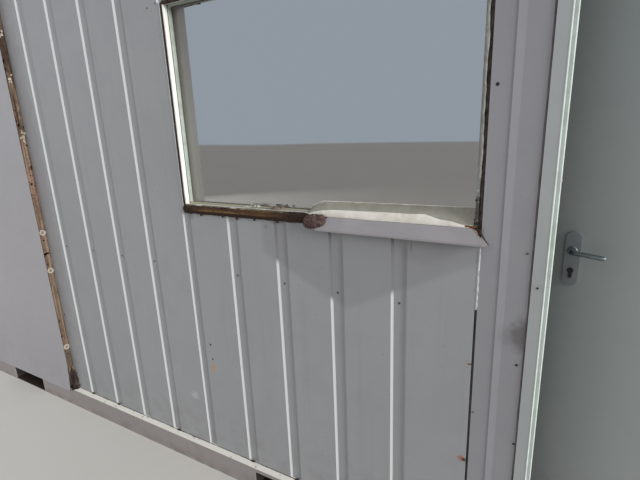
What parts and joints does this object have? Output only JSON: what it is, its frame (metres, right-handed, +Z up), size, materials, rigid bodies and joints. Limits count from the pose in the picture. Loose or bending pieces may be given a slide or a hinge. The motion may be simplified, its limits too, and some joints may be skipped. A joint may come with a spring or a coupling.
{
  "type": "portable site cabin",
  "caption": "Portable steel site cabin with ribbed walls, a base frame with fork pockets, windows, a cover sheet over a wall bay, and a door with a lever handle that opens inwards.",
  "frame": {"origin": "centre of the footprint, on the level ground that the base frame stands on", "axes": "+X to the right along the long front wall seen from outside, +Y from the front wall to the back wall, +Z up"},
  "size_m": [6.058, 2.438, 2.591],
  "materials": {
    "wall_paint": "satin light grey paint on ribbed steel sheet",
    "cover_paint": "smooth grey paint, rusted returns",
    "frame_paint": "grey paint, chipped",
    "leaf_paint": "grey-green semi-gloss paint",
    "window_frame": "white plastic",
    "window_glass": "clear double glass",
    "flashing": "white paint, flaking",
    "rusted_steel": "rust",
    "floor_covering": "sheet vinyl",
    "inner_board": "coated board",
    "roof_sheet": "galvanised",
    "hinge_steel": "zinc plated",
    "lock_plastic": "dark grey",
    "cylinder_metal": "blackened with age",
    "lever_metal": "satin"
  },
  "bodies": {
    "root": {"front_base_rail": "frame_paint", "back_base_rail": "frame_paint", "left_base_rail": "frame_paint", "right_base_rail": "frame_paint", "fork_tunnels": "frame_paint", "floor_bearers": "frame_paint", "floor_deck": "floor_covering", "bottom_corner_blocks": "frame_paint", "front_left_post": "frame_paint", "front_right_post": "frame_paint", "back_right_post": "frame_paint", "back_left_post": "frame_paint", "top_corner_blocks": "frame_paint", "front_roof_rail": "frame_paint", "back_roof_rail": "frame_paint", "left_roof_rail": "frame_paint", "right_roof_rail": "frame_paint", "roof_panel": "roof_sheet", "ceiling_board": "inner_board", "front_wall_panels": "wall_paint", "front_window_apron": "wall_paint", "front_window_header": "wall_paint", "door_panel_left": "wall_paint", "door_panel_right": "wall_paint", "door_panel_above": "wall_paint", "cover_sheet": "cover_paint", "back_wall_panels": "wall_paint", "left_wall_panels": "wall_paint", "right_wall_panels": "wall_paint", "front_window_frame": "window_frame", "front_window_glass": "window_glass", "front_sub_sill": "rusted_steel", "front_sill_flashing": "flashing", "back_window_frame": "window_frame", "back_window_glass": "window_glass", "back_sub_sill": "rusted_steel", "back_sill_flashing": "flashing", "door_frame": "frame_paint", "door_threshold": "frame_paint", "frame_hinges": "hinge_steel"},
    "door": {"door_leaf": "leaf_paint", "leaf_hinges": "hinge_steel", "lock_plates": "lock_plastic", "lock_cylinder": "cylinder_metal"},
    "lever": {"outer_lever": "lever_metal", "inner_lever": "lever_metal"}
  },
  "joints": [
    {"name": "door_hinge", "type": "hinge", "parent": "root", "child": "door", "pos_m": [2.7195, -1.093, 1.17], "axis": [0, 0, -1], "range_deg": [-12, 83]},
    {"name": "lever_turn", "type": "hinge", "parent": "door", "child": "lever", "pos_m": [1.9603, -0.96127, 1.17], "axis": [0.2079, 0.9781, 0], "range_deg": [0, 40], "stiffness_Nm_per_rad": 1.5, "springref_deg": -22.92}
  ]
}
